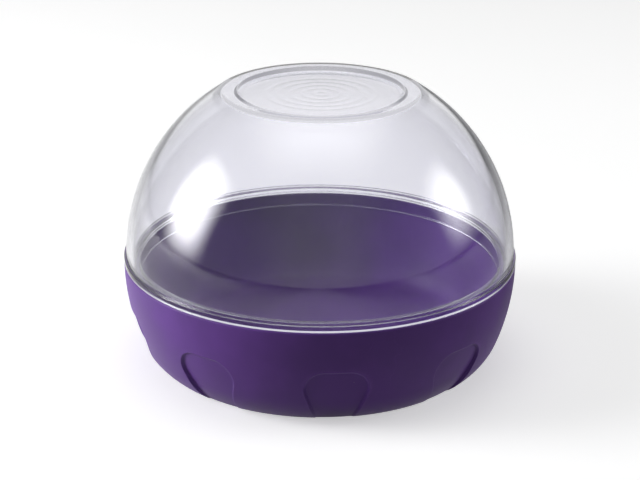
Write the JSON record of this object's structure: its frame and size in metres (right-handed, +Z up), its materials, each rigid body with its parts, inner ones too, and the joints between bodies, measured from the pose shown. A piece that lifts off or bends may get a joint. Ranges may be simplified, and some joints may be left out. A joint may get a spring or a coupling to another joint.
{
  "type": "onion keeper",
  "caption": "Round keeper for a whole or cut onion: a purple bowl with finger grips under a clear dome lid that lifts off.",
  "frame": {"origin": "centre of the foot, on the surface that the keeper stands on", "axes": "+Z up along the keeper's axis, -Y towards the front of the picture, +X to its right"},
  "size_m": [0.115, 0.115, 0.0809],
  "materials": {
    "bowl_plastic": "deep purple moulded plastic, satin",
    "clear_plastic": "clear moulded plastic, polished"
  },
  "bodies": {
    "bowl": {"bowl": "bowl_plastic"},
    "dome": {"dome": "clear_plastic"}
  },
  "joints": [
    {"name": "dome_lift", "type": "slide", "parent": "bowl", "child": "dome", "axis": [0, 0, 1], "range_m": [0, 0.1]}
  ]
}
